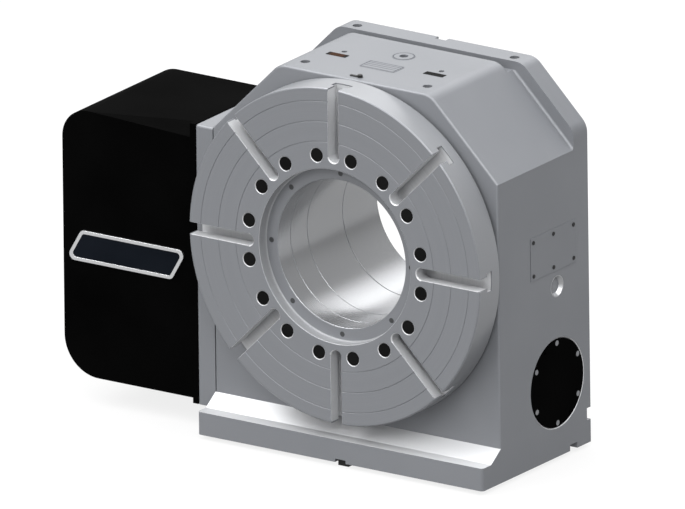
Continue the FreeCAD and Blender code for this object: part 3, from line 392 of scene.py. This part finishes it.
def make_table_steel():
    """Ground faceplate: faint turned marks; painted light in slots and recess; painted highlights on edges, rim.
    """
    material, shader = new_material("table_steel", GROUND_METALLIC, roughness=0.34)
    marks = turned_marks(material)
    radius = radius_from_axis(material)
    depth = split(material, position(material))["Y"]
    facing = true_normal(material)["Y"]
    behind_face = (depth, "GREATER_THAN", plate_low.y + PLATE_CHAMFER + FACE_SKIN)
    # Painted light: the slot walls get a much lighter tone, lifting the shade inside them
    slots = mask_where(material, behind_face, (radius, "LESS_THAN", plate_radius - RIM_SKIN),
                       (radius, "GREATER_THAN", SLOT_START))
    # The recess wall is more metallic, and its lighter tone is painted light that lifts the shade in the recess
    recess = mask_where(material, behind_face, (radius, "LESS_THAN", RECESS_RADIUS))
    # Painted highlight: the chamfered front edges of slots and holes get the bright slot tone
    broken = mask_where(material, (facing, "GREATER_THAN", EDGE_NORMAL_Y_LOW),
                        (facing, "LESS_THAN", EDGE_NORMAL_Y_HIGH),
                        (radius, "LESS_THAN", plate_radius - 2 * RIM_SKIN))
    # Painted highlight: the plate's outer rim is lighter than its face
    rim = mask_where(material, (radius, "GREATER_THAN", plate_radius - RIM_DEPTH))
    recess_painted_tones = (0.34, 0.38)
    rim_highlight_tones = (0.2, 0.22)
    surface = ramp(material, marks, *greys(0.155, 0.163))
    for mask, tones in ((slots, SLOT_AND_EDGE_PAINTED_TONES), (recess, recess_painted_tones), (broken, SLOT_AND_EDGE_PAINTED_TONES), (rim, rim_highlight_tones)):
        surface = blend_colours(material, mask, surface, ramp(material, marks, *greys(*tones)))
    link(material, surface, shader.inputs["Base Color"])
    link(material, spread(material, recess, low=GROUND_METALLIC, high=0.5), shader.inputs["Metallic"])
    link(material, spread(material, marks, low=0.31, high=0.37), shader.inputs["Roughness"])
    bump(material, shader, marks, strength=0.02, edge=PLATE_EDGE_RADIUS)
    return material


def make_bore_steel():
    """Spindle pieces: a polished through bore, with the other faces ground."""
    material, shader = new_material("bore_steel", metallic=1.0, roughness=0.2)
    marks = turned_marks(material, POLISHED_SCALE)
    radius = radius_from_axis(material)
    polished = mask_where(material, (radius, "LESS_THAN", BORE_RADIUS + POLISHED_DEPTH))
    ground_tone = ramp(material, marks, *greys(*GROUND_TONES))
    polished_tone = ramp(material, marks, *greys(0.40, 0.44))
    surface = blend_colours(material, polished, ground_tone, polished_tone)
    link(material, surface, shader.inputs["Base Color"])
    link(material, spread(material, polished, low=GROUND_METALLIC, high=0.88), shader.inputs["Metallic"])
    link(material, spread(material, polished, low=0.36, high=0.25), shader.inputs["Roughness"])
    bump(material, shader, marks, strength=0.03)
    return material


def make_port_label():
    """Dark label with a brown field in its middle."""
    material, shader = new_material("port_label", metallic=0.0, roughness=0.5, specular=0.03)
    low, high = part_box("clamp_port_label")
    inset = (high.x - low.x) * FIELD_INSET_SHARE
    along = split(material, position(material))["X"]
    field = mask_where(material, (along, "GREATER_THAN", low.x + inset), (along, "LESS_THAN", high.x - inset))
    grain = noise(material, position(material), FINE_SCALE)
    brown = ramp(material, grain, *BROWN_COLOURS)
    black = ramp(material, grain, *greys(0.004, 0.007, cool=0.0))
    link(material, blend_colours(material, field, black, brown), shader.inputs["Base Color"])
    bump(material, shader, grain, strength=0.05)
    return material


def ruled_lines(material):
    """Masks of a thin border and blank ruled fields on the plate on top."""
    low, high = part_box("spec_plate")
    place = split(material, position(material))
    left, right = low.x + RULE_INSET, high.x - RULE_INSET
    front, back = low.y + RULE_INSET, high.y - RULE_INSET
    lines = [(left, left + RULE_WIDTH, front, back), (right - RULE_WIDTH, right, front, back)]
    for share in RULED_LINES:
        start = front + (back - front - RULE_WIDTH) * share
        lines.append((left, right, start, start + RULE_WIDTH))
    return [mask_where(material, (place["X"], "GREATER_THAN", x0), (place["X"], "LESS_THAN", x1),
                       (place["Y"], "GREATER_THAN", y0), (place["Y"], "LESS_THAN", y1))
            for x0, x1, y0, y1 in lines]


def inked_rings(material):
    """Masks of the rings on the round label about the filler hole."""
    low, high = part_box("filler_label")
    radius = distance_from(material, (low + high) / 2, (1, 1, 0))
    return [mask_where(material, (radius, "GREATER_THAN", inner), (radius, "LESS_THAN", outer))
            for inner, outer in INKED_RINGS]


def make_printed_plate(name, grain_scale, find_marks):
    """Bare plate metal with inked marks, whose masks find_marks gives."""
    material, shader = new_material(name, metallic=0.2, roughness=0.42)
    grain = noise(material, position(material, grain_scale), PRINT_SCALE)
    ink = ramp(material, grain, *greys(*INK_TONES))
    surface = ramp(material, grain, *greys(*PLATE_TONES))
    for mark in find_marks(material):
        surface = blend_colours(material, mark, surface, ink)
    link(material, surface, shader.inputs["Base Color"])
    link(material, spread(material, grain, *PLATE_ROUGHNESS), shader.inputs["Roughness"])
    bump(material, shader, grain, strength=0.04)
    return material


def make_lens_glass():
    material, shader = new_material("lens_glass", metallic=0.0, roughness=0.12)
    shader.inputs["IOR"].default_value = LENS_IOR
    tint = noise(material, position(material), LENS_SCALE)
    link(material, ramp(material, tint, *greys(0.13, 0.17)), shader.inputs["Base Color"])
    return material


def make_metals():
    """The finishes of the metal pieces, by material slot."""
    return {
        "ground_steel": make_ground_steel(),
        "bearing_steel": shaded("bearing_steel", greys(0.55, 0.6), metallic=1.0, rough=(0.18, 0.28),
                                grain=700),
        "fastener_steel": shaded("fastener_steel", greys(0.10, 0.14), metallic=0.8, rough=(0.35, 0.5),
                                 grain=1200),
        "bright_screw": shaded("bright_screw", greys(0.2, 0.26), metallic=0.7, rough=(0.3, 0.45), grain=1200),
        "brake_iron": shaded("brake_iron", greys(0.2, 0.26), metallic=0.8, rough=(0.35, 0.5), grain=900),
        "bronze": shaded("bronze", ((0.55, 0.32, 0.12), (0.66, 0.42, 0.18)), metallic=1.0, rough=(0.25, 0.38),
                         grain=900),
        "black_oxide": shaded("black_oxide", greys(0.012, 0.02, cool=0.0), metallic=0.6, rough=(0.35, 0.5),
                              grain=1200),
        "badge_silver": shaded("badge_silver", greys(0.68, 0.74), metallic=0.95, rough=(0.2, 0.3),
                               grain=1200),
        "plate_metal": shaded("plate_metal", greys(*PLATE_TONES), metallic=0.2, rough=(0.35, 0.48), grain=900,
                              grain_scale=(1, 1, 0.05)),
        "bezel_chrome": shaded("bezel_chrome", greys(0.42, 0.46), metallic=1.0, rough=(0.28, 0.36),
                               grain=800),
    }


def make_coatings():
    """The finishes of the painted, printed, plastic, rubber and glass pieces, by material slot."""
    return {
        "casting": make_casting(),
        "lens_glass": make_lens_glass(),
        "label_brown": make_port_label(),
        "label_black": shaded("label_black", greys(0.003, 0.006, cool=0.0), metallic=0.0, rough=(0.5, 0.6),
                              grain=900, specular=0.03),
        "black_plug": shaded("black_plug", greys(0.003, 0.006, cool=0.0), metallic=0.0, rough=(0.5, 0.62),
                             grain=1500, specular=0.03),
        "black_paint": shaded("black_paint", greys(0.0008, 0.0014, cool=0.0), metallic=0.0,
                              rough=(0.55, 0.65), grain=1600, relief=(0.05, FINE_DEPTH), specular=0.004),
        "motor_black": shaded("motor_black", greys(0.015, 0.022, cool=0.002), metallic=0.0,
                              rough=(0.45, 0.55), grain=1200),
        "gland_black": shaded("gland_black", greys(0.012, 0.018, cool=0.0), metallic=0.0, rough=(0.4, 0.5),
                              grain=1500),
        "badge_dark": shaded("badge_dark", (grey(0.003, 0.002), grey(0.006, 0.003)), metallic=0.0,
                             rough=(0.4, 0.5), grain=600, specular=0.03),
        "spacer_plastic": shaded("spacer_plastic", ((0.62, 0.58, 0.45), (0.7, 0.66, 0.52)), metallic=0.0,
                                 rough=(0.4, 0.5), grain=800),
        "seal_rubber": shaded("seal_rubber", greys(0.012, 0.02, cool=0.0), metallic=0.0, rough=(0.6, 0.75),
                              grain=1500),
    }


def dress():
    """Every node takes the finish of the slot that the record gives it, and a few take their own."""
    materials = {**make_metals(), **make_coatings()}
    for entry in frame["record"]["subparts"]:
        mesh = nodes[entry["node"]].data
        mesh.materials.clear()
        mesh.materials.append(materials[entry["material_slot"]])
    own = {
        "faceplate": make_table_steel(),
        "spec_plate": make_printed_plate("ruled_plate", (1, 8, 1), ruled_lines),
        "filler_label": make_printed_plate("ring_label", (1, 1, 1), inked_rings),
        "side_plate_screws": materials["black_oxide"],
        "bore_ring_screws": shaded("ring_screw", greys(0.035, 0.05, cool=0.002), metallic=0.5,
                                   rough=(0.35, 0.5), grain=1200),
        **dict.fromkeys(BORE_PIECES, make_bore_steel()),
    }
    for name, material in own.items():
        nodes[name].data.materials[0] = material


def from_axis(point):
    return math.hypot(point.x - axis_place.x, point.z - axis_place.z)


def on_plate_front(edge):
    """Whether an edge bounds the faceplate's front face."""
    if any(abs(v.co.y - plate_low.y) > PLACE_TOLERANCE for v in edge.verts):
        return False
    return sum(face.normal.y < FRONT_NORMAL_Y for face in edge.link_faces) == 1


def on_plug_hole(edge):
    """Whether an edge is the front rim of a hole on the bolt circle, where the edges are short."""
    on_circle = all(abs(from_axis(v.co) - PLUG_CIRCLE) < PLUG_REACH for v in edge.verts)
    return on_circle and on_plate_front(edge) and edge.calc_length() < PLUG_REACH / 2


def on_plate_edge(edge):
    """Whether an edge is one of the front face's others: the slots, the rim and the bore."""
    return on_plate_front(edge) and not on_plug_hole(edge)


def on_bore_end(low, high):
    """A test for the end edges of the through bore on a piece that lies between two corners."""
    def test(edge):
        if any(abs(from_axis(v.co) - BORE_RADIUS) > BORE_TOLERANCE for v in edge.verts):
            return False
        return any(all(abs(v.co.y - end) < PLACE_TOLERANCE for v in edge.verts) for end in (low.y, high.y))
    return test


def on_cover_rim(low, high):
    """A test for the rim of the bore that holds a round cover in the side of the housing."""
    centre, radius = (low + high) / 2, (high.z - low.z) / 2

    def at_rim(point):
        from_centre = math.hypot(point.y - centre.y, point.z - centre.z)
        return abs(point.x - high.x) < PLACE_TOLERANCE and abs(from_centre - radius) < COVER_TOLERANCE

    def test(edge):
        return all(at_rim(v.co) for v in edge.verts)
    return test


def cut_lines(piece, cutter):
    """Takes the cutter out of a piece's mesh."""
    whole = piece.data
    cut = piece.modifiers.new("lines", "BOOLEAN")
    cut.object = cutter
    cut.operation = "DIFFERENCE"
    cut.solver = "EXACT"
    result = piece.evaluated_get(bpy.context.evaluated_depsgraph_get())
    finished = bpy.data.meshes.new_from_object(result)
    piece.modifiers.clear()
    piece.data = finished
    bpy.data.meshes.remove(whole)
    finished.name = piece.name


def chamfered(name, body, breaks, cutter=None):
    """A copy of a node's mesh with the picked edges broken and lines cut in; it stands for the node."""
    form = bmesh.new()
    form.from_mesh(nodes[name].data)
    bmesh.ops.remove_doubles(form, verts=form.verts, dist=MERGE_DISTANCE)
    bmesh.ops.dissolve_limit(form, angle_limit=math.radians(FLAT_ANGLE), verts=form.verts, edges=form.edges)
    for pick, width in breaks:
        bmesh.ops.bevel(form, geom=[e for e in form.edges if pick(e)], offset=width, offset_type="OFFSET",
                        segments=1, profile=0.5, affect="EDGES", clamp_overlap=True)
    form.verts.index_update()
    mesh = bpy.data.meshes.new(f"{name}_fine")
    mesh.from_pydata([v.co for v in form.verts], [], [[v.index for v in f.verts] for f in form.faces])
    form.free()
    piece = bpy.data.objects.new(f"{name}_fine", mesh)
    scene.collection.objects.link(piece)
    if cutter is not None:
        cut_lines(piece, cutter)
    piece.data.materials.clear()
    piece.data.materials.append(nodes[name].data.materials[0])
    piece.data.polygons.foreach_set("use_smooth", [True] * len(piece.data.polygons))
    piece.data.set_sharp_from_angle(angle=math.radians(SMOOTH_ANGLE))
    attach(piece, body)
    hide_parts(name)


def scribing_cutter():
    """Rings with a pointed section that scribe the circles on the faceplate."""
    form = bmesh.new()
    outside = -SCRIBE_DEPTH / 2
    section = [(-SCRIBE_HALF_WIDTH, outside), (SCRIBE_HALF_WIDTH, outside), (0, SCRIBE_DEPTH)]
    for circle in SCRIBED_CIRCLES:
        loops = []
        for step in range(SCRIBE_STEPS):
            angle = 2 * math.pi * step / SCRIBE_STEPS
            across, up = math.cos(angle), math.sin(angle)
            loops.append([form.verts.new((axis_place.x + (circle + out) * across, plate_low.y + depth,
                                          axis_place.z + (circle + out) * up)) for out, depth in section])
        for here, there in zip(loops, loops[1:] + loops[:1]):
            for i in range(len(section)):
                j = (i + 1) % len(section)
                form.faces.new((here[i], here[j], there[j], there[i]))
    bmesh.ops.recalc_face_normals(form, faces=form.faces)
    mesh = bpy.data.meshes.new("scribing_cutter")
    form.to_mesh(mesh)
    form.free()
    cutter = bpy.data.objects.new("scribing_cutter", mesh)
    scene.collection.objects.link(cutter)
    return cutter


def refine():
    """Breaks the edges that catch the light, and scribes the faceplate."""
    cutter = scribing_cutter()
    plate_breaks = [(on_plug_hole, PLUG_CHAMFER), (on_plate_edge, PLATE_CHAMFER)]
    chamfered("faceplate", "table", plate_breaks, cutter)
    bpy.data.objects.remove(cutter)
    for name in BORE_PIECES:
        chamfered(name, "table", [(on_bore_end(*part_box(name)), BORE_CHAMFER)])
    cover_rim = on_cover_rim(*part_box("worm_end_cover"))
    chamfered("housing", "frame", [(cover_rim, RIM_CHAMFER)])


def make_floor():
    """A wide pale plane just under the part."""
    half, height = FLOOR_SIZE / 2, cad_box[0].z - FLOOR_DROP
    corners = [(-half, -half, height), (half, -half, height), (half, half, height), (-half, half, height)]
    mesh = bpy.data.meshes.new("floor")
    mesh.from_pydata(corners, [], [(0, 1, 2, 3)])
    floor = bpy.data.objects.new("floor", mesh)
    scene.collection.objects.link(floor)
    pale = shaded("floor_white", greys(0.08, 0.085, cool=0.0), metallic=0.0, rough=(0.8, 0.9), grain=60,
                  specular=0.1)
    shader = pale.node_tree.nodes["Principled BSDF"]
    shader.inputs["Emission Color"].default_value = (1, 1, 1, 1)
    seen = add(pale, "ShaderNodeLightPath").outputs["Is Camera Ray"]
    link(pale, spread(pale, seen, FLOOR_GLOW, FLOOR_SEEN), shader.inputs["Emission Strength"])
    mesh.materials.append(pale)


def make_world():
    """Soft light panels on a dim surround, which the camera itself sees as a plain white backdrop."""
    world = bpy.data.worlds.new("studio")
    world.use_nodes = True
    tree = world.node_tree
    coordinates = tree.nodes.new("ShaderNodeTexCoord")
    total = None
    for direction, edge, strength in LIGHT_PANELS.values():
        toward = tree.nodes.new("ShaderNodeVectorMath")
        toward.operation = "DOT_PRODUCT"
        toward.inputs[1].default_value = Vector(direction).normalized()
        tree.links.new(coordinates.outputs["Generated"], toward.inputs[0])
        glow = tree.nodes.new("ShaderNodeMapRange")
        glow.interpolation_type = "SMOOTHSTEP"
        glow.inputs["From Min"].default_value = edge
        glow.inputs["To Max"].default_value = strength
        tree.links.new(toward.outputs["Value"], glow.inputs["Value"])
        sum_node = tree.nodes.new("ShaderNodeMath")
        sum_node.inputs[1].default_value = AMBIENT_STRENGTH
        tree.links.new(glow.outputs["Result"], sum_node.inputs[0])
        if total is not None:
            tree.links.new(total, sum_node.inputs[1])
        total = sum_node.outputs["Value"]
    path = tree.nodes.new("ShaderNodeLightPath")
    seen = tree.nodes.new("ShaderNodeMix")
    seen.inputs["B"].default_value = BACKDROP_STRENGTH
    tree.links.new(path.outputs["Is Camera Ray"], seen.inputs["Factor"])
    tree.links.new(total, seen.inputs["A"])
    tree.links.new(seen.outputs["Result"], tree.nodes["Background"].inputs["Strength"])
    tree.nodes["Background"].inputs["Color"].default_value = (1, 1, 1, 1)
    scene.world = world


def make_camera():
    """A parallel view that puts the plate's centre on its pixel."""
    data = bpy.data.cameras.new("photo_camera")
    data.type = "ORTHO"
    data.ortho_scale = IMAGE_WIDTH_PX / PIXELS_PER_METRE
    azimuth, elevation = math.radians(VIEW_AZIMUTH), math.radians(VIEW_ELEVATION)
    back = Vector((math.sin(azimuth) * math.cos(elevation), -math.cos(azimuth) * math.cos(elevation),
                   math.sin(elevation)))
    roll = Matrix.Rotation(-math.radians(VIEW_ROLL), 3, "Z").to_quaternion()
    turn = back.to_track_quat("Z", "Y") @ roll
    right, up = turn @ Vector((1, 0, 0)), turn @ Vector((0, 1, 0))
    aside = (IMAGE_WIDTH_PX / 2 - PLATE_CENTRE_PX[0]) / PIXELS_PER_METRE
    above = (PLATE_CENTRE_PX[1] - IMAGE_HEIGHT_PX / 2) / PIXELS_PER_METRE
    camera = bpy.data.objects.new("photo_camera", data)
    camera.rotation_mode = "QUATERNION"
    camera.rotation_quaternion = turn
    camera.location = plate_centre + right * aside + up * above + back * CAMERA_DISTANCE
    scene.collection.objects.link(camera)
    scene.camera = camera


dress()
refine()
make_floor()
make_world()
make_camera()
scene.view_settings.view_transform = "Standard"
